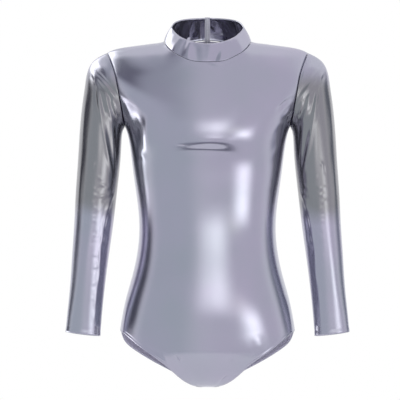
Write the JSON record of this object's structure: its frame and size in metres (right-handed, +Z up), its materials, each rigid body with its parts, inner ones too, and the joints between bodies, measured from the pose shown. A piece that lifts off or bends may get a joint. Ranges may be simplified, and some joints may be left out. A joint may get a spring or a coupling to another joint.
{
  "type": "long-sleeved dance leotard",
  "caption": "Long-sleeved metallic dance leotard with a stand collar, set-in sleeves, a low-cut leg line and a centre-back zip, filled out as if worn.",
  "frame": {"origin": "middle of the neck, level with the top of the shoulders, where the wearer holds the garment up", "axes": "+Z up, -Y to the front, +X to the wearer's left"},
  "size_m": [0.5392, 0.2307, 0.7066],
  "materials": {
    "metallic_knit": "metallic foil on stretch knit, satin to mirror",
    "leg_elastic": "matte ribbed elastic",
    "zip_tape": "matte woven tape with a plastic coil",
    "zip_metal": "satin metal"
  },
  "bodies": {
    "garment": {"front": "metallic_knit", "back_left": "metallic_knit", "back_right": "metallic_knit", "sleeve_left": "metallic_knit", "sleeve_right": "metallic_knit", "collar": "metallic_knit", "leg_band_left": "leg_elastic", "leg_band_right": "leg_elastic", "zip_tape": "zip_tape", "zip_slider": "zip_metal"},
    "pull": {"zip_pull": "zip_metal"}
  },
  "joints": [
    {"name": "pull_swing", "type": "hinge", "parent": "garment", "child": "pull", "pos_m": [0, 0.051, 0.04125], "axis": [1, 0, 0], "range_deg": [0, 150]}
  ]
}
